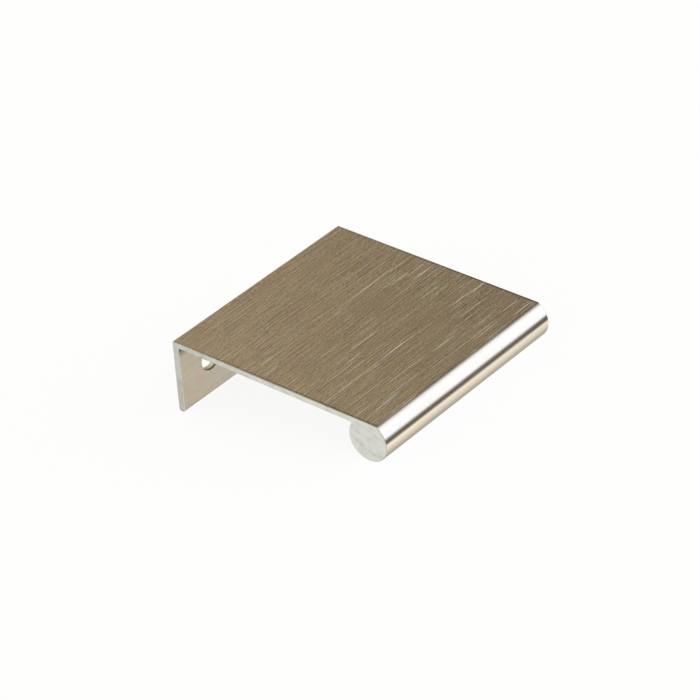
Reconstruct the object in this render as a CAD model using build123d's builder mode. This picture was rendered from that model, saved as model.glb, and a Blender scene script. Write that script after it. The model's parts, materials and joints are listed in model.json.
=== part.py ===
from build123d import *
import os
from math import asin, atan2, cos, degrees, hypot, sin, sqrt

os.makedirs("parts", exist_ok=True)

# Driving dimensions of the extrusion, in millimetres
width = 38.1             # cut length, across the drawer front
depth = 39.75            # back of the flange to the front of the finger bead
plate_thickness = 0.9
flange_height = 12.3     # top of the plate to the foot of the flange
flange_thickness = 1.1
bead_diameter = 6.8
bead_height = 6.4        # top of the plate to the underside of the bead
corner_radius = 0.25     # die radius on the outside corners
inner_radius = 0.2       # die radius in the inside corners
hole_diameter = 3.9      # clears a number 6 wood screw
hole_spacing = 25.0

# The section is drawn level: x runs to the back, y runs up, and the top back corner is at 0, 0
bead_radius = bead_diameter / 2
bead_x = bead_radius - depth
bead_y = bead_radius - bead_height
neck_x = bead_x + sqrt(bead_radius**2 - (bead_y + plate_thickness) ** 2)
foot_x = corner_radius - flange_thickness
foot_y = corner_radius - flange_height
hole_y = -flange_height / 2

# At rest the part leans forward on the front edge of the flange's foot and on the bead
run = foot_x - bead_x
rise = bead_y - foot_y
lean = atan2(rise, run) - asin((bead_radius - corner_radius) / hypot(run, rise))
to_back = Vector(0, cos(lean), sin(lean))
to_top = Vector(0, -sin(lean), cos(lean))

# The floor is at z = 0, and the origin is under the middle of the part's box
front_reach = bead_x * to_back.Y + bead_y * to_top.Y - bead_radius
back_reach = -corner_radius * to_back.Y + foot_y * to_top.Y + corner_radius
top_back = Vector(
    0,
    -(front_reach + back_reach) / 2,
    bead_radius - bead_x * to_back.Z - bead_y * to_top.Z,
)
section_plane = Plane(origin=top_back, x_dir=to_back, z_dir=(1, 0, 0))
screw_plane = Plane(origin=top_back + to_top * hole_y, x_dir=(-1, 0, 0), z_dir=to_back)

with BuildPart() as pull:
    with BuildSketch(section_plane) as section:
        # Flat tab, hooked flange and round finger bead
        Rectangle(-bead_x, plate_thickness, align=(Align.MAX, Align.MAX))
        Rectangle(flange_thickness, flange_height, align=(Align.MAX, Align.MAX))
        with Locations((bead_x, bead_y)):
            Circle(bead_radius)
        # The bead's crown is dressed level with the top of the tab
        with Locations((bead_x, 0)):
            Rectangle(
                bead_diameter,
                bead_radius,
                align=(Align.CENTER, Align.MIN),
                mode=Mode.SUBTRACT,
            )
        outside = [(0, 0), (0, -flange_height), (-flange_thickness, -flange_height)]
        fillet(
            [section.vertices().sort_by_distance(spot)[0] for spot in outside],
            corner_radius,
        )
        inside = [(-flange_thickness, -plate_thickness), (neck_x, -plate_thickness)]
        fillet(
            [section.vertices().sort_by_distance(spot)[0] for spot in inside],
            inner_radius,
        )
    extrude(amount=width / 2, both=True)
    # Two plain screw holes through the flange, drilled from its back
    with Locations(screw_plane):
        with Locations((-hole_spacing / 2, 0), (hole_spacing / 2, 0)):
            Hole(hole_diameter / 2, depth=2 * flange_thickness)

pull.part.label = "edge_pull"
export_step(pull.part, "parts/edge_pull.step")

box = pull.part.bounding_box()
print("lean, degrees", round(degrees(lean), 4))
print("box", box.min, box.max)
print("top back corner", top_back)
print("screw plane", screw_plane.origin, screw_plane.z_dir)
print("volume", round(pull.part.volume, 2))
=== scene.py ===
"""Edge tab pull: one brushed extrusion with a finger bead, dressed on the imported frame."""

import json
import logging
from dataclasses import dataclass, field, replace
from enum import IntEnum
from math import atan2, cos, hypot, pi, radians, sin, sqrt

import bpy
import numpy as np
from mathutils import Matrix, Vector


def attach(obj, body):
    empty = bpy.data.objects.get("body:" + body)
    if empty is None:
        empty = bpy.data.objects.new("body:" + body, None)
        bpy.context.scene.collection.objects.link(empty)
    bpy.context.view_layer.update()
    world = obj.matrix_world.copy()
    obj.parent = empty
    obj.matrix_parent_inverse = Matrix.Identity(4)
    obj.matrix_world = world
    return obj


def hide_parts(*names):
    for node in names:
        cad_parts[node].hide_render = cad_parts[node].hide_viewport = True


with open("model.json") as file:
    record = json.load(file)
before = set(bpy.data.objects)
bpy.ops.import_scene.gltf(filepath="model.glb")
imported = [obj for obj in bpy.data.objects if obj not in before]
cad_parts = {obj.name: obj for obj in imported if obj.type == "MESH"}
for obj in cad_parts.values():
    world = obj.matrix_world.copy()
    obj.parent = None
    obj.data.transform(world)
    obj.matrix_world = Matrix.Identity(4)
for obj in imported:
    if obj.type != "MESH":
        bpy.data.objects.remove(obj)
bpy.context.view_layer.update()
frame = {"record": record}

log = logging.getLogger("edge_pull")

MM = 1e-3
MICRON = 1e-6
IMAGE_PIXELS = 700
SENSOR_MM = 36.0
NODE = "edge_pull"

Colour = tuple[float, float, float]
Triple = tuple[float, float, float]
Span = tuple[float, float]


class Zone(IntEnum):
    """The finishes of the extrusion, in the order of the piece's material slots."""

    BRUSHED = 0
    DRAWN = 1
    # Underside and inner faces: a darker tint, partly their own finish and partly painted shade.
    MILL = 2
    SAWN = 3
    DRILLED = 4
    BROKEN = 5
    BACK = 6


class Run(IntEnum):
    """The stretches of the section's outline, in the order in which it is walked round."""

    TOP_CORNER = 0
    TOP = 1
    CROWN_EDGE = 2
    BEAD = 3
    NECK = 4
    UNDERSIDE = 5
    INSIDE_CORNER = 6
    INNER_FACE = 7
    FRONT_FOOT = 8
    FOOT = 9
    BACK_FOOT = 10
    BACK_FACE = 11


def mount(name: str) -> dict:
    """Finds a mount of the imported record.

    Args:
        name: the mount's name.

    Returns:
        The mount as the record holds it.
    """
    return next(m for m in frame["record"]["mounts"] if m["name"] == name)


@dataclass(frozen=True)
class Stance:
    """How the level section stands in the row frame: it leans forward on its bead."""

    corner: Vector
    to_back: Vector
    to_top: Vector

    @classmethod
    def from_frame(cls, flange_thickness: float, flange_height: float) -> "Stance":
        """Reads the lean from the flange's inner face.

        The face's mount is at half the flange's height. One flange thickness back along the face's normal
        and half a flange height up from there is the section's top back corner.

        Args:
            flange_thickness: thickness of the flange, in metres.
            flange_height: height of the flange, in metres.

        Returns:
            The stance of the section.
        """
        face = mount("flange_face")
        to_back = -Vector(face["axis"]).normalized()
        to_top = Vector((1, 0, 0)).cross(to_back)
        corner = Vector(face["pos_m"]) + to_back * flange_thickness + to_top * (flange_height / 2)
        return cls(corner, to_back, to_top)

    def turn(self, across: np.ndarray, back: np.ndarray, up: np.ndarray) -> np.ndarray:
        """Turns level directions into the row frame: across on X, then back and up on the leaning axes.

        Args:
            across: components along X.
            back: components to the back.
            up: components towards the top.

        Returns:
            Vectors in the row frame, in the last axis.
        """
        axes = np.array([(1.0, 0.0, 0.0), self.to_back, self.to_top])
        return np.stack(np.broadcast_arrays(across, back, up), axis=-1) @ axes

    def place(self, across: np.ndarray, back: np.ndarray, up: np.ndarray) -> np.ndarray:
        """Places level points in the row frame: their turned vectors, from the top back corner.

        Args:
            across: places along X.
            back: places to the back of the corner.
            up: places above the corner.

        Returns:
            Points in the row frame, in the last axis.
        """
        return self.turn(across, back, up) + np.array(self.corner)


@dataclass(frozen=True)
class Stretch:
    """One straight or round stretch of the section's outline, with its outward normals."""

    points: np.ndarray
    normals: np.ndarray
    zone: Zone

    @classmethod
    def straight(cls, start: tuple, end: tuple, marks: np.ndarray, zone: Zone) -> "Stretch":
        """A line from start to end: start plus mark times the run. Its normal is on its right-hand side.

        Args:
            start: first point, back and up.
            end: last point.
            marks: shares of the run, from 0 to 1.
            zone: the finish.

        Returns:
            The stretch.
        """
        run = np.subtract(end, start)
        points = np.add(start, np.outer(marks, run))
        normal = np.array((run[1], -run[0])) / hypot(*run)
        return cls(points, np.tile(normal, (len(marks), 1)), zone)

    @classmethod
    def round(
        cls, centre: tuple, radius: float, first: float, last: float, steps: int, zone: Zone
    ) -> "Stretch":
        """An arc: centre plus radius times cosine and sine. An arc that runs clockwise is hollow.

        Args:
            centre: middle of the arc, back and up.
            radius: its radius.
            first: angle of its first point, in radians.
            last: angle of its last point.
            steps: number of chords.
            zone: the finish.

        Returns:
            The stretch.
        """
        angles = np.linspace(first, last, steps + 1)
        rays = np.stack([np.cos(angles), np.sin(angles)], axis=-1)
        return cls(np.add(centre, radius * rays), rays * np.sign(last - first), zone)


@dataclass(frozen=True)
class Outline:
    """The closed outline of the section, anticlockwise as seen from +X."""

    points: np.ndarray
    normals: np.ndarray
    zones: np.ndarray
    along: np.ndarray
    starts: np.ndarray
    inner_rows: np.ndarray
    back_rows: np.ndarray

    def strip(self, there: Run, back: Run) -> np.ndarray:
        """Joins two stretches that run opposite ways, point by point.

        Args:
            there: one stretch.
            back: the other, with as many points.

        Returns:
            Point numbers of the outline, four for each face.
        """
        ahead = np.arange(self.starts[there], self.starts[there + 1] + 1)
        behind = np.arange(self.starts[back], self.starts[back + 1] + 1)[::-1] % len(self.points)
        return np.stack([ahead[:-1], ahead[1:], behind[1:], behind[:-1]], axis=-1)

    def end_faces(self) -> list[np.ndarray]:
        """Divides the flat end: strips across the tab and the flange, and the corner, bead and foot.

        Returns:
            Point numbers of the outline for each face, anticlockwise as seen from +X.
        """
        run = np.arange(len(self.points))
        first = self.starts
        outer = run[: first[Run.TOP] + 1]
        inner = run[first[Run.INSIDE_CORNER] : first[Run.INNER_FACE] + 1]
        bead = run[first[Run.CROWN_EDGE] : first[Run.UNDERSIDE] + 1]
        foot = run[first[Run.FRONT_FOOT] : first[Run.BACK_FACE] + 1]
        tab = self.strip(Run.TOP, Run.UNDERSIDE)
        flange = self.strip(Run.INNER_FACE, Run.BACK_FACE)
        return [*tab, *flange, np.concatenate([outer, inner]), bead, foot]


@dataclass(frozen=True)
class Section:
    """The die's section, drawn level from its top back corner: back and up, in metres.

    The flange's foot is rounder than the other corners. A hole lies in a square patch of even rows and
    columns, and patch is half its side.
    """

    depth: float = 39.75 * MM
    plate: float = 0.9 * MM
    flange_height: float = 12.3 * MM
    flange: float = 1.1 * MM
    bead_radius: float = 3.4 * MM
    bead_height: float = 6.4 * MM
    corner: float = 0.25 * MM
    foot_round: float = 0.5 * MM
    inside: float = 0.2 * MM
    crown_edge: float = 0.14 * MM
    patch: float = 3.4 * MM
    patch_rows: int = 24
    margin_steps: int = 3
    tab_steps: int = 24
    corner_steps: int = 6
    crown_steps: int = 4
    bead_steps: int = 144
    foot_steps: int = 12

    @property
    def bead(self) -> Span:
        """Centre of the finger bead."""
        return self.bead_radius - self.depth, self.bead_radius - self.bead_height

    @property
    def hole_up(self) -> float:
        """Height of the screw holes: half way down the flange."""
        return -self.flange_height / 2

    def flange_marks(self, top: float, foot: float) -> np.ndarray:
        """Where the rows lie on a flange face, even inside the patch round a hole.

        Args:
            top: upper end of the flat face.
            foot: lower end of the flat face.

        Returns:
            Shares of the run from top to foot, from 0 to 1.
        """
        high = self.hole_up + self.patch
        low = self.hole_up - self.patch
        heights = np.concatenate(
            [
                np.linspace(top, high, self.margin_steps + 1)[:-1],
                np.linspace(high, low, self.patch_rows + 1)[:-1],
                np.linspace(low, foot, self.margin_steps + 1),
            ]
        )
        return (heights - top) / (foot - top)

    def outline(self) -> Outline:
        """Walks round the section: top, crown edge, bead, neck, underside, flange, foot and back.

        The crown edge is a small arc that touches the flat top and the bead's circle from inside, and the
        neck is a hollow arc that touches the bead's circle from outside and the tab's underside.

        Returns:
            The outline with its normals, finishes and running length.
        """
        bead_back, bead_up = self.bead
        edge_up = -self.crown_edge
        edge_reach = self.bead_radius - self.crown_edge
        edge_back = bead_back - sqrt(edge_reach**2 - (edge_up - bead_up) ** 2)
        crown = atan2(edge_up - bead_up, edge_back - bead_back)
        neck_up = -self.plate - self.inside
        neck_reach = self.bead_radius + self.inside
        neck_back = bead_back + sqrt(neck_reach**2 - (neck_up - bead_up) ** 2)
        neck = atan2(neck_up - bead_up, neck_back - bead_back)
        radius, tip = self.corner, self.foot_round
        foot = tip - self.flange_height
        front = -self.flange
        inner_top = -self.plate - self.inside
        even = np.linspace(0, 1, self.tab_steps + 1)
        inner = self.flange_marks(inner_top, foot)
        back = 1 - self.flange_marks(-radius, foot)[::-1]
        sole = np.array((0.0, 1.0))
        line, arc = Stretch.straight, Stretch.round
        stretches = [
            arc((-radius, -radius), radius, 0, pi / 2, self.corner_steps, Zone.BRUSHED),
            line((-radius, 0.0), (edge_back, 0.0), even, Zone.BRUSHED),
            arc((edge_back, edge_up), self.crown_edge, pi / 2, crown, self.crown_steps, Zone.BRUSHED),
            arc(self.bead, self.bead_radius, crown, 2 * pi + neck, self.bead_steps, Zone.DRAWN),
            arc((neck_back, neck_up), self.inside, pi + neck, pi / 2, self.corner_steps, Zone.MILL),
            line((neck_back, -self.plate), (front - self.inside, -self.plate), even, Zone.MILL),
            arc((front - self.inside, inner_top), self.inside, pi / 2, 0, self.corner_steps, Zone.MILL),
            line((front, inner_top), (front, foot), inner, Zone.MILL),
            arc((front + tip, foot), tip, pi, 1.5 * pi, self.foot_steps, Zone.MILL),
            line((front + tip, foot - tip), (-tip, foot - tip), sole, Zone.MILL),
            arc((-tip, foot), tip, 1.5 * pi, 2 * pi, self.foot_steps, Zone.MILL),
            line((0.0, foot), (0.0, -radius), back, Zone.BACK),
        ]
        points = np.concatenate([s.points[:-1] for s in stretches])
        normals = np.concatenate([s.normals[:-1] for s in stretches])
        zones = np.concatenate([np.full(len(s.points) - 1, int(s.zone)) for s in stretches])
        chords = np.linalg.norm(np.roll(points, -1, axis=0) - points, axis=1)
        along = np.concatenate([[0.0], np.cumsum(chords)])
        starts = np.cumsum([0] + [len(s.points) - 1 for s in stretches])
        rows = np.arange(self.patch_rows + 1) + self.margin_steps
        inner_rows = starts[Run.INNER_FACE] + rows
        back_rows = starts[Run.BACK_FACE] + rows[::-1]
        return Outline(points, normals, zones, along, starts, inner_rows, back_rows)


@dataclass
class MeshParts:
    """Arrays of a mesh under construction."""

    points: list[np.ndarray] = field(default_factory=list)
    normals: list[np.ndarray] = field(default_factory=list)
    quads: list[np.ndarray] = field(default_factory=list)
    zones: list[np.ndarray] = field(default_factory=list)
    uvs: list[np.ndarray] = field(default_factory=list)
    count: int = 0

    def add_points(self, points: np.ndarray, normals: np.ndarray) -> np.ndarray:
        """Adds points with their normals.

        Args:
            points: places, with coordinates in the last axis.
            normals: outward directions, of the same shape.

        Returns:
            The new points' numbers, in the shape of the grid.
        """
        shape = points.shape[:-1]
        size = int(np.prod(shape))
        numbers = np.arange(self.count, self.count + size).reshape(shape)
        self.points.append(points.reshape(-1, 3))
        self.normals.append(normals.reshape(-1, 3))
        self.count += size
        return numbers

    def add_quads(self, quads: np.ndarray, zones: np.ndarray, uvs: np.ndarray) -> None:
        """Adds four-sided faces.

        Args:
            quads: point numbers, four for each face.
            zones: finish of each face.
            uvs: two coordinates for each corner.
        """
        self.quads.append(quads.reshape(-1, 4))
        self.zones.append(zones.reshape(-1))
        self.uvs.append(uvs.reshape(-1, 2))


@dataclass
class EdgePull:
    """The whole pull: the section carried along X, its rounded sawn ends and its two screw holes."""

    section: Section = field(default_factory=Section)
    width: float = 38.1 * MM
    end_break: float = 0.1 * MM
    rim_break: float = 0.08 * MM
    end_steps: int = 4
    rim_steps: int = 4
    face_rings: int = 6
    middle_columns: int = 12
    side_columns: int = 4
    hole_radius: float = 0.0
    hole_across: float = 0.0
    stance: Stance | None = None

    def __post_init__(self) -> None:
        """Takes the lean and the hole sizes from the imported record."""
        holes = mount("screw_holes")["dims"]
        self.hole_radius = holes["hole_r_mm"] * MM
        self.hole_across = holes["pcd_mm"] * MM / 2
        self.stance = Stance.from_frame(self.section.flange, self.section.flange_height)

    def columns(self) -> np.ndarray:
        """Places along X between the rounded ends, even inside the patches round the holes.

        Returns:
            Places from left to right.
        """
        half = self.width / 2 - self.end_break
        near = self.hole_across - self.section.patch
        far = self.hole_across + self.section.patch
        rows = self.section.patch_rows
        right = np.concatenate(
            [
                np.linspace(0, near, self.middle_columns + 1)[:-1],
                np.linspace(near, far, rows + 1)[:-1],
                np.linspace(far, half, self.side_columns + 1),
            ]
        )
        return np.concatenate([-right[:0:-1], right])

    def stations(self) -> tuple[np.ndarray, np.ndarray, np.ndarray]:
        """Places along X with the quarter-round break at each end.

        At angle a of the break, the station lies one break times sine of a past the last column, and the
        outline is drawn in by one break times one minus cosine of a.

        Returns:
            The places, the angles (negative at the left end) and the inset of each station.
        """
        columns = self.columns()
        angle = np.linspace(0, pi / 2, self.end_steps + 1)[1:]
        past = self.end_break * np.sin(angle)
        across = np.concatenate([columns[0] - past[::-1], columns, columns[-1] + past])
        angles = np.concatenate([-angle[::-1], np.zeros(len(columns)), angle])
        return across, angles, self.end_break * (1 - np.cos(angles))

    def add_skin(self, parts: MeshParts, outline: Outline) -> tuple[np.ndarray, np.ndarray]:
        """Carries the outline along the stations and leaves out the patches round the holes.

        A point is its outline point, less the station's inset along the outline's normal. The broken edges
        at the ends have a finish of their own.

        Args:
            parts: the mesh under construction.
            outline: the section's outline.

        Returns:
            The grid of point numbers, station by outline point, and the places along X.
        """
        across, angles, inset = self.stations()
        drawn = outline.points[None] - inset[:, None, None] * outline.normals[None]
        lean_in = np.cos(angles)[:, None]
        points = self.stance.place(across[:, None], drawn[..., 0], drawn[..., 1])
        normals = self.stance.turn(
            np.sin(angles)[:, None], lean_in * outline.normals[:, 0], lean_in * outline.normals[:, 1]
        )
        grid = parts.add_points(points, normals)
        ahead = np.roll(grid, -1, axis=1)
        quads = np.stack([grid[:-1], ahead[:-1], ahead[1:], grid[1:]], axis=-1)
        keep = np.ones(quads.shape[:2], bool)
        for columns in self.hole_columns(across):
            for rows in (outline.inner_rows, outline.back_rows):
                keep[columns[0] : columns[-1], rows.min() : rows.max()] = False
        near, far = outline.along[:-1], outline.along[1:]
        left, right = across[:-1, None], across[1:, None]
        corners = [(near, left), (far, left), (far, right), (near, right)]
        uvs = np.stack([np.stack(np.broadcast_arrays(u, v), axis=-1) for u, v in corners], axis=2)
        broken = (angles[:-1] + angles[1:] != 0)[:, None]
        zones = np.where(broken, int(Zone.BROKEN), outline.zones)
        parts.add_quads(quads[keep], zones[keep], uvs[keep])
        return grid, across

    def hole_columns(self, across: np.ndarray) -> list[np.ndarray]:
        """Station numbers of the patch round each hole.

        Args:
            across: places of the stations.

        Returns:
            One run of station numbers for each hole, left first.
        """
        span = np.arange(self.section.patch_rows + 1)
        starts = [side * self.hole_across - self.section.patch for side in (-1, 1)]
        return [int(np.abs(across - start).argmin()) + span for start in starts]

    def add_hole(
        self, parts: MeshParts, grid: np.ndarray, columns: np.ndarray, outline: Outline, middle: float
    ) -> None:
        """Joins the two square patches through a round hole with broken rims.

        Round the square's border each point has an angle about the hole's axis. Ring by ring its radius
        goes from the border to the rim, turns a quarter round into the wall, and does the same in reverse
        on the inner face, while its depth goes from the back face to the inner face.

        Args:
            parts: the mesh under construction.
            grid: the skin's point numbers.
            columns: station numbers of the patch.
            outline: the section's outline.
            middle: the hole's place along X.
        """
        first = self.border(grid, columns, outline.back_rows)
        last = self.border(grid, columns, outline.inner_rows)
        side = np.linspace(-1, 1, self.section.patch_rows + 1)[:-1] * self.section.patch
        edge = np.full(len(side), self.section.patch)
        square = np.stack(
            [
                np.concatenate([side, edge, -side, -edge]),
                np.concatenate([edge, -side, -edge, side]),
            ],
            axis=-1,
        )
        reach = np.linalg.norm(square, axis=1)
        rays = square / reach[:, None]
        rim = self.hole_radius + self.rim_break
        share = np.linspace(0, 1, self.face_rings + 1)[1:, None]
        flat = (1 - share) * reach + share * rim
        turn = np.linspace(0, pi / 2, self.rim_steps + 1)[1:]
        curl = rim - self.rim_break * np.sin(turn)
        thick = self.section.flange
        sink = self.rim_break * (1 - np.cos(turn))
        curls = np.outer(curl, np.ones(len(square)))
        radius = np.concatenate([flat, curls, curls[::-1], flat[::-1]])
        level = np.zeros(self.face_rings)
        depth = np.concatenate([level, -sink, sink[::-1] - thick, level - thick])
        angle = np.concatenate([level, turn, pi - turn[::-1], level + pi])
        across = middle + radius * rays[:, 0]
        up = self.section.hole_up + radius * rays[:, 1]
        tilt = np.sin(angle)[:, None]
        points = self.stance.place(across, depth[:, None], up)
        normals = self.stance.turn(
            -tilt * rays[:, 0], np.broadcast_to(np.cos(angle)[:, None], up.shape), -tilt * rays[:, 1]
        )
        rings = np.concatenate([first[None], parts.add_points(points, normals), last[None]])
        ahead = np.roll(rings, -1, axis=1)
        quads = np.stack([rings[:-1], ahead[:-1], ahead[1:], rings[1:]], axis=-1)
        flats = self.face_rings
        wall = len(quads) - 2 * flats
        zone = [Zone.BACK] * flats + [Zone.DRILLED] * wall + [Zone.MILL] * flats
        zones = np.broadcast_to(np.array(zone, int)[:, None], quads.shape[:2])
        edge_uv = np.stack([square[:, 1], square[:, 0]], axis=-1)[None]
        ring_uv = radius[..., None] * rays[:, ::-1]
        flat_uv = np.concatenate([edge_uv, ring_uv, edge_uv])
        next_uv = np.roll(flat_uv, -1, axis=1)
        uvs = np.stack([flat_uv[:-1], next_uv[:-1], next_uv[1:], flat_uv[1:]], axis=2)
        parts.add_quads(quads, zones, uvs)

    def border(self, grid: np.ndarray, columns: np.ndarray, rows: np.ndarray) -> np.ndarray:
        """Point numbers round a patch: along its top to +X, down, along its foot to -X, and up.

        Args:
            grid: the skin's point numbers.
            columns: station numbers of the patch, left to right.
            rows: outline numbers of the patch, from the top down.

        Returns:
            The border's point numbers, in one closed round.
        """
        return np.concatenate(
            [
                grid[columns[:-1], rows[0]],
                grid[columns[-1], rows[:-1]],
                grid[columns[:0:-1], rows[-1]],
                grid[columns[0], rows[:0:-1]],
            ]
        )

    def build(self) -> bpy.types.Object:
        """Makes the pull's mesh with exact normals.

        Returns:
            The piece, at the origin, with no finish yet.
        """
        outline = self.section.outline()
        parts = MeshParts()
        grid, across = self.add_skin(parts, outline)
        for columns, side in zip(self.hole_columns(across), (-1, 1)):
            self.add_hole(parts, grid, columns, outline, side * self.hole_across)
        ends = outline.end_faces()
        caps = [grid[0, face[::-1]] for face in ends] + [grid[-1, face] for face in ends]
        faces = np.concatenate(parts.quads).tolist() + [cap.tolist() for cap in caps]
        mesh = bpy.data.meshes.new(NODE + "_skin")
        mesh.from_pydata(np.concatenate(parts.points).tolist(), [], faces)
        zones = np.concatenate(parts.zones + [np.full(len(caps), int(Zone.SAWN))])
        mesh.polygons.foreach_set("material_index", zones.astype(np.int32))
        mesh.polygons.foreach_set("use_smooth", np.ones(len(faces), bool))
        left_uvs = [outline.points[face[::-1]] for face in ends]
        right_uvs = [outline.points[face] for face in ends]
        uvs = np.concatenate(parts.uvs + left_uvs + right_uvs)
        mesh.uv_layers.new(name="grain").uv.foreach_set("vector", uvs.astype(np.float32).ravel())
        mesh.update()
        mesh.normals_split_custom_set_from_vertices(np.concatenate(parts.normals).tolist())
        piece = bpy.data.objects.new("pull_body", mesh)
        bpy.context.scene.collection.objects.link(piece)
        return piece

    def dress(self, piece: bpy.types.Object, finishes: dict[Zone, "Finish"]) -> None:
        """Gives the piece its finishes and its body, and hides the imported node.

        Args:
            piece: the pull.
            finishes: a finish for each zone.
        """
        for zone in Zone:
            piece.data.materials.append(finishes[zone].material())
        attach(piece, "root")
        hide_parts(NODE)


class Graph:
    """A node tree under construction, with short ways to add what the finishes need."""

    def __init__(self, tree: bpy.types.NodeTree) -> None:
        """Starts from an empty tree.

        Args:
            tree: the tree to fill.
        """
        self.tree = tree
        tree.nodes.clear()

    def node(self, kind: str, **settings: object) -> bpy.types.Node:
        """Adds a node.

        Args:
            kind: the node's type name.
            settings: its properties.

        Returns:
            The node.
        """
        made = self.tree.nodes.new(kind)
        for name, value in settings.items():
            setattr(made, name, value)
        return made

    def feed(self, socket: bpy.types.NodeSocket, source: object) -> None:
        """Links a socket to another one, or sets its value.

        Args:
            socket: the input.
            source: an output socket, a number or a colour.
        """
        if isinstance(source, bpy.types.NodeSocket):
            self.tree.links.new(source, socket)
        else:
            socket.default_value = source

    def math(self, operation: str, *values: object) -> bpy.types.NodeSocket:
        """Adds a Math node.

        Args:
            operation: its operation.
            values: its inputs, sockets or numbers.

        Returns:
            The result.
        """
        made = self.node("ShaderNodeMath", operation=operation)
        for socket, value in zip(made.inputs, values):
            self.feed(socket, value)
        return made.outputs[0]

    def dot(self, vector: bpy.types.NodeSocket, axis: Triple) -> bpy.types.NodeSocket:
        """Measures a vector along an axis.

        Args:
            vector: the vector.
            axis: the axis, of length 1.

        Returns:
            Its length along the axis.
        """
        made = self.node("ShaderNodeVectorMath", operation="DOT_PRODUCT")
        self.feed(made.inputs[0], vector)
        made.inputs[1].default_value = axis
        return made.outputs["Value"]

    def sway(self, tone: object, grain: bpy.types.NodeSocket, amount: float) -> bpy.types.NodeSocket:
        """Adds an amount times a grain to a tone, with the grain's middle taken as nothing.

        Args:
            tone: the tone so far.
            grain: a value from 0 to 1.
            amount: how far the grain moves the tone.

        Returns:
            The new tone.
        """
        return self.math("MULTIPLY_ADD", self.math("SUBTRACT", grain, 0.5), amount, tone)

    def reach(self, corner: Vector) -> bpy.types.NodeSocket:
        """Measures how far a point is from a line along X.

        Args:
            corner: a point of the line.

        Returns:
            The distance, in metres.
        """
        place = self.node("ShaderNodeTexCoord")
        move = self.node("ShaderNodeMapping", vector_type="POINT")
        self.feed(move.inputs["Vector"], place.outputs["Object"])
        move.inputs["Location"].default_value = (0.0, -corner.y, -corner.z)
        move.inputs["Scale"].default_value = (0.0, 1.0, 1.0)
        made = self.node("ShaderNodeVectorMath", operation="LENGTH")
        self.feed(made.inputs[0], move.outputs["Vector"])
        return made.outputs["Value"]

    def noise(
        self, size: Triple, detail: float, turn: Triple = (0, 0, 0), shift: float = 0.0
    ) -> bpy.types.Node:
        """Adds a noise whose grains have the given sizes on Object coordinates.

        Args:
            size: grain length along X, Y and Z, in metres.
            detail: octaves of finer grain.
            turn: turn of the grain, in radians.
            shift: offset, so that two noises differ.

        Returns:
            The Noise node.
        """
        place = self.node("ShaderNodeTexCoord")
        spread = self.node("ShaderNodeMapping", vector_type="TEXTURE")
        self.feed(spread.inputs["Vector"], place.outputs["Object"])
        spread.inputs["Location"].default_value = (shift, shift, shift)
        spread.inputs["Rotation"].default_value = turn
        spread.inputs["Scale"].default_value = size
        grain = self.node("ShaderNodeTexNoise")
        grain.inputs["Scale"].default_value = 1.0
        grain.inputs["Detail"].default_value = detail
        self.feed(grain.inputs["Vector"], spread.outputs["Vector"])
        return grain

    def spread(
        self, value: bpy.types.NodeSocket, low: float, high: float, to_low: float, to_high: float
    ) -> bpy.types.NodeSocket:
        """Maps a value from one range to another and clamps it.

        Args:
            value: the input.
            low: start of the input range.
            high: end of the input range.
            to_low: start of the output range.
            to_high: end of the output range.

        Returns:
            The mapped value's socket.
        """
        made = self.node("ShaderNodeMapRange", interpolation_type="SMOOTHSTEP")
        names = ("From Min", "From Max", "To Min", "To Max")
        for name, number in zip(names, (low, high, to_low, to_high)):
            made.inputs[name].default_value = number
        self.feed(made.inputs["Value"], value)
        return made.outputs["Result"]

    def shaded(
        self, tone: bpy.types.NodeSocket, line: Vector, reach: Span, near: float, far: float
    ) -> bpy.types.NodeSocket:
        """Multiplies a tone by a shade that changes with the distance from a line along X.

        Args:
            tone: the tone so far.
            line: a point of the line.
            reach: the distances at which the change starts and ends.
            near: the shade up to the first distance.
            far: the shade past the second one.

        Returns:
            The new tone.
        """
        return self.math("MULTIPLY", tone, self.spread(self.reach(line), *reach, near, far))

    def mix(self, blend: str, factor: object, first: object, second: object) -> bpy.types.NodeSocket:
        """Mixes two colours.

        Args:
            blend: the blend type.
            factor: share of the second.
            first: a colour or socket.
            second: a colour or socket.

        Returns:
            The mixed colour.
        """
        made = self.node("ShaderNodeMix", data_type="RGBA", blend_type=blend, clamp_result=False)
        self.feed(made.inputs[0], factor)
        for socket, colour in zip((made.inputs[6], made.inputs[7]), (first, second)):
            self.feed(socket, (*colour, 1.0) if isinstance(colour, tuple) else colour)
        return made.outputs[2]


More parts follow.
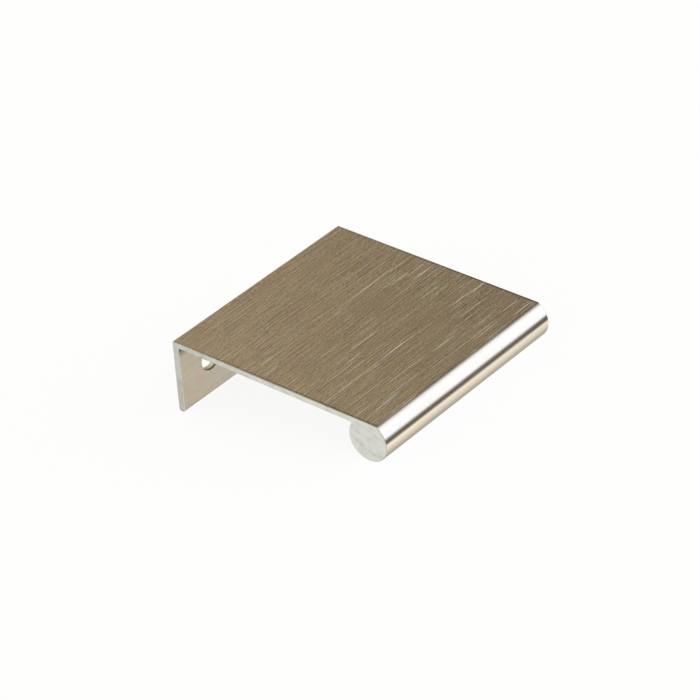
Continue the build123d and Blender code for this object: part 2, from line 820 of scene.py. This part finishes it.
@dataclass(frozen=True)
class Finish:
    """A metal finish: its tint, gloss and grain."""

    name: str
    tint: Colour
    roughness: float
    anisotropy: float = 0.0

    def material(self) -> bpy.types.Material:
        """Makes the finish's material: a metal shader that its grain feeds.

        Returns:
            The material.
        """
        made = bpy.data.materials.new(self.name)
        made.use_nodes = True
        graph = Graph(made.node_tree)
        shader = graph.node("ShaderNodeBsdfPrincipled")
        shader.inputs["Metallic"].default_value = 1.0
        shader.inputs["Anisotropic"].default_value = self.anisotropy
        if self.anisotropy:
            tangent = graph.node("ShaderNodeTangent", direction_type="UV_MAP", uv_map="grain")
            graph.feed(shader.inputs["Tangent"], tangent.outputs["Tangent"])
        self.grain(graph, shader)
        output = graph.node("ShaderNodeOutputMaterial")
        graph.feed(output.inputs["Surface"], shader.outputs["BSDF"])
        return made

    def grain(self, graph: Graph, shader: bpy.types.Node) -> None:
        """Feeds colour, roughness and relief into the shader.

        Args:
            graph: the material's nodes.
            shader: the metal shader.
        """
        raise NotImplementedError

    def paint(
        self, graph: Graph, shader: bpy.types.Node, colour: bpy.types.NodeSocket, hue: Triple, share: float
    ) -> None:
        """Feeds a colour into the shader, with a speckle of hue laid over it.

        Args:
            graph: the material's nodes.
            shader: the metal shader.
            colour: the colour.
            hue: size of the speckle, in metres.
            share: strength of the speckle.
        """
        speckle = graph.noise(hue, 1.0, shift=1.3).outputs["Color"]
        graph.feed(shader.inputs["Base Color"], graph.mix("OVERLAY", share, colour, speckle))

    def relief(self, graph: Graph, shader: bpy.types.Node, height: object, depth: float) -> None:
        """Feeds a fine relief into the shader.

        Args:
            graph: the material's nodes.
            shader: the metal shader.
            height: the relief, from 0 to 1.
            depth: its depth, in metres.
        """
        bump = graph.node("ShaderNodeBump")
        bump.inputs["Strength"].default_value = 1.0
        bump.inputs["Distance"].default_value = depth
        graph.feed(bump.inputs["Height"], height)
        graph.feed(shader.inputs["Normal"], bump.outputs["Normal"])


@dataclass(frozen=True)
class Brushed(Finish):
    """Brushing along X: hairlines with painted neutral glints on a toothed ground, and wear towards the
    bead.

    The hairlines show by their relief and their tone. Near the bead there are more scratches, and painted
    shade darkens the tab's two ends, most of all near the bead.
    """

    half_width: float = 0.0
    handled: Vector | None = None
    hairline: Triple = (7 * MM, 0.22 * MM, 0.22 * MM)
    tooth: Triple = (0.7 * MM, 0.3 * MM, 0.3 * MM)
    band: Triple = (50 * MM, 8 * MM, 8 * MM)
    scratch: Triple = (8 * MM, 0.2 * MM, 0.2 * MM)
    scratch_share: Span = (0.68, 0.80)
    # Wear near the bead: more scratches there, and a deeper painted shade at the tab's ends.
    wear_and_end_shade_reach: Span = (10 * MM, 36 * MM)
    wear_and_end_shade_share: float = 0.3
    hue: Triple = (3.5 * MM, 0.4 * MM, 0.4 * MM)
    hair_tone: float = 0.78
    # Painted glints: the hairlines' lighter ridges are mixed towards this light neutral colour.
    painted_glint: Colour = (0.84, 0.82, 0.78)
    painted_glint_share: Span = (0.5, 0.75)
    painted_glint_mix: float = 0.4
    tooth_tone: float = 0.52
    band_tone: float = 0.12
    scratch_tone: float = 0.8
    scratch_rough: float = 0.28
    hue_share: float = 0.3
    # Width and depth of the painted shade along the tab's two ends.
    edge: Span = (0.22 * MM, 0.6 * MM)
    end_shade_drop: float = 0.5
    hair_rough: float = -0.16
    tooth_relief: float = 0.4
    groove: float = 85 * MICRON

    def grain(self, graph: Graph, shader: bpy.types.Node) -> None:
        """Hairlines, tooth and painted glints move the tint, scratches catch the light, painted shade
        darkens the ends.

        Args:
            graph: the material's nodes.
            shader: the metal shader.
        """
        hair = graph.noise(self.hairline, 3.0).outputs["Fac"]
        tooth = graph.noise(self.tooth, 1.0, shift=0.3).outputs["Fac"]
        band = graph.noise(self.band, 1.0, shift=0.7).outputs["Fac"]
        scratch = graph.noise(self.scratch, 0.0, shift=0.9).outputs["Fac"]
        # Wear near the bead brings more scratches and deepens the painted shade at the ends.
        wear_and_end_shade = graph.spread(graph.reach(self.handled), *self.wear_and_end_shade_reach, 1, self.wear_and_end_shade_share)
        scratch = graph.math("MULTIPLY", graph.spread(scratch, *self.scratch_share, 0, 1), wear_and_end_shade)
        tone = graph.sway(1.0, hair, self.hair_tone)
        tone = graph.sway(tone, tooth, self.tooth_tone)
        tone = graph.sway(tone, band, self.band_tone)
        tone = graph.math("MULTIPLY_ADD", scratch, self.scratch_tone, tone)
        # Painted shade: the tab darkens within a fraction of a millimetre of each end.
        across = graph.dot(graph.node("ShaderNodeTexCoord").outputs["Object"], (1, 0, 0))
        inset = graph.math("SUBTRACT", self.half_width, graph.math("ABSOLUTE", across))
        shade = graph.math("MULTIPLY", graph.spread(inset, *self.edge, -self.end_shade_drop, 0), wear_and_end_shade)
        tone = graph.math("MULTIPLY_ADD", tone, shade, tone)
        colour = graph.mix("MULTIPLY", 1.0, self.tint, tone)
        # Painted glints: the hairlines' lighter ridges are mixed towards a light neutral colour.
        painted_glint = graph.spread(hair, *self.painted_glint_share, 0, self.painted_glint_mix)
        colour = graph.mix("MIX", painted_glint, colour, self.painted_glint)
        self.paint(graph, shader, colour, self.hue, self.hue_share)
        rough = graph.sway(self.roughness, hair, self.hair_rough)
        rough = graph.math("MULTIPLY_ADD", scratch, self.scratch_rough, rough)
        graph.feed(shader.inputs["Roughness"], rough)
        height = graph.math("MULTIPLY_ADD", tooth, self.tooth_relief, hair)
        self.relief(graph, shader, height, self.groove)


@dataclass(frozen=True)
class Drawn(Finish):
    """Drawn smooth by the die: faint lines along X, and painted shade in the inside corner where there is
    one.
    """

    line: Triple = (50 * MM, 0.35 * MM, 0.35 * MM)
    cloud: Triple = (9 * MM, 4 * MM, 4 * MM)
    hue: Triple = (1.6 * MM, 1.6 * MM, 1.6 * MM)
    line_tone: float = 0.2
    cloud_tone: float = 0.14
    hue_share: float = 0.1
    corner: Vector | None = None
    # Reach and depth of the painted shade in the inside corner.
    corner_shade_reach: Span = (0.1 * MM, 2.0 * MM)
    corner_shade_tone: float = 0.22
    cloud_rough: float = 0.08
    groove: float = 3 * MICRON

    def grain(self, graph: Graph, shader: bpy.types.Node) -> None:
        """Die lines and slow clouds shift the tint and gloss a little; painted shade darkens the inside
        corner.

        Args:
            graph: the material's nodes.
            shader: the metal shader.
        """
        line = graph.noise(self.line, 2.0).outputs["Fac"]
        cloud = graph.noise(self.cloud, 2.0, shift=0.4).outputs["Fac"]
        tone = graph.sway(graph.sway(1.0, line, self.line_tone), cloud, self.cloud_tone)
        # Painted shade in the inside corner, under the tab.
        if self.corner:
            tone = graph.shaded(tone, self.corner, self.corner_shade_reach, self.corner_shade_tone, 1)
        colour = graph.mix("MULTIPLY", 1.0, self.tint, tone)
        self.paint(graph, shader, colour, self.hue, self.hue_share)
        graph.feed(shader.inputs["Roughness"], graph.sway(self.roughness, cloud, self.cloud_rough))
        self.relief(graph, shader, line, self.groove)


@dataclass(frozen=True)
class Sawn(Finish):
    """Bare metal off the saw: fine marks, mottled clouds, painted light near the bead, painted shade at the
    foot.
    """

    mark: Triple = (4 * MM, 3.5 * MM, 0.22 * MM)
    mark_turn: float = 25.0
    cloud: Triple = (1.3 * MM, 1.3 * MM, 1.3 * MM)
    hue: Triple = (1.1 * MM, 1.1 * MM, 1.1 * MM)
    mark_tone: float = 0.65
    cloud_tone: float = 0.5
    hue_share: float = 0.15
    # The bead's line: painted light makes the sawn ends brightest there, fading with distance.
    painted_light_line: Vector | None = None
    painted_light_reach: Span = (0.0, 40 * MM)
    painted_light_far_tone: float = 0.78
    # The foot's line: painted shade darkens the sawn ends towards it.
    foot: Vector | None = None
    foot_shade_reach: Span = (0.0, 10 * MM)
    foot_shade_tone: float = 0.84
    mark_rough: float = 0.2
    groove: float = 8 * MICRON

    def grain(self, graph: Graph, shader: bpy.types.Node) -> None:
        """Marks and clouds move the tint, painted light makes it brightest at the bead, painted shade
        darkens the foot.

        Args:
            graph: the material's nodes.
            shader: the metal shader.
        """
        mark = graph.noise(self.mark, 2.0, turn=(radians(self.mark_turn), 0, 0)).outputs["Fac"]
        cloud = graph.noise(self.cloud, 2.0, shift=0.6).outputs["Fac"]
        tone = graph.sway(graph.sway(1.0, mark, self.mark_tone), cloud, self.cloud_tone)
        # Painted light: brightest at the bead, fading away from it.
        if self.painted_light_line:
            tone = graph.shaded(tone, self.painted_light_line, self.painted_light_reach, 1, self.painted_light_far_tone)
        # Painted shade towards the flange's foot.
        if self.foot:
            tone = graph.shaded(tone, self.foot, self.foot_shade_reach, self.foot_shade_tone, 1)
        colour = graph.mix("MULTIPLY", 1.0, self.tint, tone)
        self.paint(graph, shader, colour, self.hue, self.hue_share)
        graph.feed(shader.inputs["Roughness"], graph.sway(self.roughness, mark, self.mark_rough))
        self.relief(graph, shader, mark, self.groove)


@dataclass(frozen=True)
class Drilled(Finish):
    """Bored through the flange: fine drill marks, and painted shade towards the mouth on the inner face."""

    mouth: Vector | None = None
    axis: Vector | None = None
    mark: Triple = (0.5 * MM, 0.12 * MM, 0.5 * MM)
    mark_tone: float = 0.3
    # Reach and depth of the painted shade at the bore's mouth.
    shade_reach: Span = (0.1 * MM, 0.5 * MM)
    shade_tone: float = 0.16
    mark_rough: float = 0.2
    groove: float = 8 * MICRON

    def grain(self, graph: Graph, shader: bpy.types.Node) -> None:
        """Drill marks lighten and darken the bare metal, and painted shade makes it darkest at the mouth.

        Args:
            graph: the material's nodes.
            shader: the metal shader.
        """
        mark = graph.noise(self.mark, 2.0).outputs["Fac"]
        # Painted shade: the bore darkens towards its mouth on the inner face.
        along = graph.dot(graph.node("ShaderNodeTexCoord").outputs["Object"], tuple(self.axis))
        depth = graph.math("SUBTRACT", along, self.axis.dot(self.mouth))
        shade = graph.spread(depth, *self.shade_reach, self.shade_tone, 1)
        tone = graph.math("MULTIPLY", graph.sway(1.0, mark, self.mark_tone), shade)
        graph.feed(shader.inputs["Base Color"], graph.mix("MULTIPLY", 1.0, self.tint, tone))
        graph.feed(shader.inputs["Roughness"], graph.sway(self.roughness, mark, self.mark_rough))
        self.relief(graph, shader, mark, self.groove)


def finishes(pull: EdgePull) -> dict[Zone, Finish]:
    """Lists the pull's finishes. The flange's back is brushed more lightly than the tab.

    Args:
        pull: the pull, which says where its ends, bead, inside corner, foot and bores are.

    Returns:
        A finish for each zone.
    """
    section, stance = pull.section, pull.stance
    corner = Vector(stance.place(0.0, -section.flange, -section.plate))
    mouth = Vector(stance.place(0.0, -section.flange, section.hole_up))
    foot = Vector(stance.place(0.0, -section.flange / 2, -section.flange_height))
    bead = Vector(stance.place(0.0, *section.bead))
    tab = Brushed(
        "brushed_warm_nickel",
        (0.70, 0.645, 0.56),
        roughness=0.34,
        anisotropy=0.6,
        half_width=pull.width / 2,
        handled=bead,
    )
    back = replace(
        tab,
        name="back_warm_nickel",
        tint=(0.70, 0.66, 0.595),
        hair_tone=0.42,
        tooth_tone=0.2,
        hue_share=0.1,
        painted_glint_mix=0.25,
        groove=35 * MICRON,
    )
    drawn = Drawn("drawn_warm_nickel", (0.86, 0.825, 0.765), roughness=0.16, anisotropy=0.3)
    # Underside and inner faces: a rougher, darker copy of the drawn finish, partly painted shade under the
    # tab.
    mill_and_shade = replace(
        drawn,
        name="mill_and_shade_warm_nickel",
        tint=(0.545, 0.52, 0.47),
        roughness=0.32,
        hue_share=0.15,
        corner=corner,
    )
    sawn = Sawn("sawn_bare_metal", (0.945, 0.97, 0.915), roughness=0.45, painted_light_line=bead, foot=foot)
    bore = Drilled("drilled_bare_metal", (0.95, 0.99, 0.98), roughness=0.5, mouth=mouth, axis=stance.to_back)
    return {
        Zone.BRUSHED: tab,
        Zone.DRAWN: drawn,
        Zone.MILL: mill_and_shade,
        Zone.SAWN: sawn,
        Zone.DRILLED: bore,
        Zone.BROKEN: Sawn("broken_edge", (0.78, 0.79, 0.745), roughness=0.42),
        Zone.BACK: back,
    }


@dataclass(frozen=True)
class Studio:
    """A pale floor, and soft light that comes from the front over a low dark gap."""

    floor_half: float = 3.0
    floor_glow: float = 0.89
    floor_tint: Colour = (0.178, 0.186, 0.2)
    backdrop: Colour = (0.98, 0.98, 0.98)
    softbox: Colour = (1.18, 1.22, 1.30)
    softbox_rim: Colour = (0.88, 0.78, 0.62)
    softbox_far: Colour = (0.75, 0.75, 0.75)
    softbox_right: Span = (0.1, 0.45)
    softbox_edge: Span = (0.28, 0.56)
    room_dim: Colour = (0.05, 0.04, 0.026)
    room_lit: Colour = (0.73, 0.585, 0.383)
    room_far: Colour = (0.50, 0.49, 0.46)
    room_side: Triple = (-0.78, 0.62, 0.0)
    room_edge: Span = (-0.38, -0.02)
    room_back: Span = (0.15, 0.5)
    room_right: Span = (0.76, 0.94)
    table: Colour = (1.0, 1.0, 1.0)
    table_ahead: Colour = (1.35, 1.217, 1.028)
    table_under: Colour = (0.445, 0.418, 0.35)
    under_ahead: Span = (-0.30, 1.0)
    under_height: Span = (-0.57, -0.43)
    gap: Colour = (0.14, 0.112, 0.079)
    gap_height: Span = (-0.53, -0.41)
    gap_ahead: Span = (-0.15, 0.15)
    horizon: Span = (-0.235, -0.035)

    def floor(self) -> bpy.types.Object:
        """Makes the floor: a flat square at z = 0, hidden from mirror rays.

        Returns:
            The floor.
        """
        corner = np.array([(-1, -1), (1, -1), (1, 1), (-1, 1)]) * self.floor_half
        mesh = bpy.data.meshes.new("studio_floor")
        mesh.from_pydata(np.c_[corner, np.zeros(4)].tolist(), [], [(0, 1, 2, 3)])
        made = bpy.data.materials.new("pale_floor")
        made.use_nodes = True
        graph = Graph(made.node_tree)
        shader = graph.node("ShaderNodeBsdfDiffuse")
        shader.inputs["Color"].default_value = (*self.floor_tint, 1.0)
        glow = graph.node("ShaderNodeEmission")
        glow.inputs["Strength"].default_value = self.floor_glow
        both = graph.node("ShaderNodeAddShader")
        graph.feed(both.inputs[0], shader.outputs[0])
        graph.feed(both.inputs[1], glow.outputs[0])
        output = graph.node("ShaderNodeOutputMaterial")
        graph.feed(output.inputs["Surface"], both.outputs[0])
        mesh.materials.append(made)
        floor = bpy.data.objects.new("floor", mesh)
        floor.visible_glossy = False
        bpy.context.scene.collection.objects.link(floor)
        return floor

    def light(self) -> None:
        """Lights the scene by direction: a softbox to the front, a plain room behind and a table below.

        Each direction is measured ahead, to the front, to the right and by its height. Over the horizon the
        softbox fills the front, is strongest to the right and ends in a warm rim. The room is dim beside
        it, warm overhead, and plain grey to the back and far to the right. Under the horizon a dark gap
        lies in front of the lit table, and the table is shaded under the object.
        """
        world = bpy.data.worlds.new("studio")
        bpy.context.scene.world = world
        world.use_nodes = True
        graph = Graph(world.node_tree)
        sky = graph.node("ShaderNodeTexCoord").outputs["Generated"]
        ahead = graph.dot(sky, (0, -1, 0))
        height = graph.dot(sky, (0, 0, 1))
        right = graph.dot(sky, (1, 0, 0))
        side = graph.dot(sky, self.room_side)
        room = graph.mix("MIX", graph.spread(side, *self.room_back, 0, 1), self.room_lit, self.room_far)
        room = graph.mix("MIX", graph.spread(side, *self.room_edge, 0, 1), self.room_dim, room)
        room = graph.mix("MIX", graph.spread(right, *self.room_right, 0, 1), room, self.room_far)
        strong = graph.spread(right, *self.softbox_right, 0, 1)
        softbox = graph.mix("MIX", strong, self.softbox_far, self.softbox)
        edge = graph.spread(ahead, *self.softbox_edge, 0, 1)
        softbox = graph.mix("MIX", edge, self.softbox_rim, softbox)
        above = graph.mix("MIX", edge, room, softbox)
        forward = graph.spread(ahead, *self.under_ahead, 0, 1)
        under = graph.mix("MIX", forward, self.table_under, self.table_ahead)
        table = graph.mix("MIX", graph.spread(height, *self.under_height, 1, 0), self.table, under)
        gap = graph.math(
            "MULTIPLY",
            graph.spread(ahead, *self.gap_ahead, 0, 1),
            graph.spread(height, *self.gap_height, 0, 1),
        )
        below = graph.mix("MIX", gap, table, self.gap)
        whole = graph.mix("MIX", graph.spread(height, *self.horizon, 0, 1), below, above)
        path = graph.node("ShaderNodeLightPath")
        seen = graph.mix("MIX", path.outputs["Is Camera Ray"], whole, self.backdrop)
        back = graph.node("ShaderNodeBackground")
        graph.feed(back.inputs["Color"], seen)
        output = graph.node("ShaderNodeOutputWorld")
        graph.feed(output.inputs["Surface"], back.outputs[0])


@dataclass(frozen=True)
class PhotoCamera:
    """The photograph's view of the level section: angles in degrees, lengths in metres."""

    azimuth: float = -48.65
    elevation: float = 34.04
    roll: float = -4.06
    focal_pixels: float = 3242.0
    distance: float = 482.8 * MM
    aside: float = 13.879 * MM
    below: float = -10.155 * MM
    near_clip: float = 10 * MM

    def place(self, stance: Stance) -> bpy.types.Object:
        """Puts the camera where the photograph was taken from and turns it with the section's lean.

        The view's back axis points from the object to the camera at the azimuth and elevation, its right
        axis is level, and both are then rolled. The camera stands at the distance along the back axis,
        moved aside and below by the two offsets.

        Args:
            stance: how the section stands.

        Returns:
            The camera.
        """
        a, e, r = radians(self.azimuth), radians(self.elevation), radians(self.roll)
        back = Vector((sin(a) * cos(e), -cos(a) * cos(e), sin(e)))
        level = Vector((cos(a), sin(a), 0))
        rise = back.cross(level)
        right = cos(r) * level + sin(r) * rise
        up = cos(r) * rise - sin(r) * level
        spot = right * self.aside + up * self.below + back * self.distance
        axes = [Vector(stance.turn(*axis)) for axis in (right, up, back)]
        place = Vector(stance.place(*spot))
        data = bpy.data.cameras.new("photo_camera")
        data.sensor_width = SENSOR_MM
        data.lens = self.focal_pixels * SENSOR_MM / IMAGE_PIXELS
        data.clip_start = self.near_clip
        camera = bpy.data.objects.new("photo_camera", data)
        turn = Matrix(axes).transposed().to_4x4()
        camera.matrix_world = Matrix.Translation(place) @ turn
        bpy.context.scene.collection.objects.link(camera)
        bpy.context.scene.camera = camera
        return camera


def main() -> None:
    """Builds the pull, the studio and the camera."""
    logging.basicConfig(level=logging.INFO, format="%(name)s: %(message)s")
    bpy.context.scene.view_settings.view_transform = "Standard"
    pull = EdgePull()
    piece = pull.build()
    pull.dress(piece, finishes(pull))
    log.info("%s: %d points, %d faces", piece.name, len(piece.data.vertices), len(piece.data.polygons))
    studio = Studio()
    log.info("%s", studio.floor().name)
    studio.light()
    camera = PhotoCamera().place(pull.stance)
    log.info("%s: lens %.1f mm", camera.name, camera.data.lens)
    bpy.context.view_layer.update()


if __name__ == "__main__":
    main()
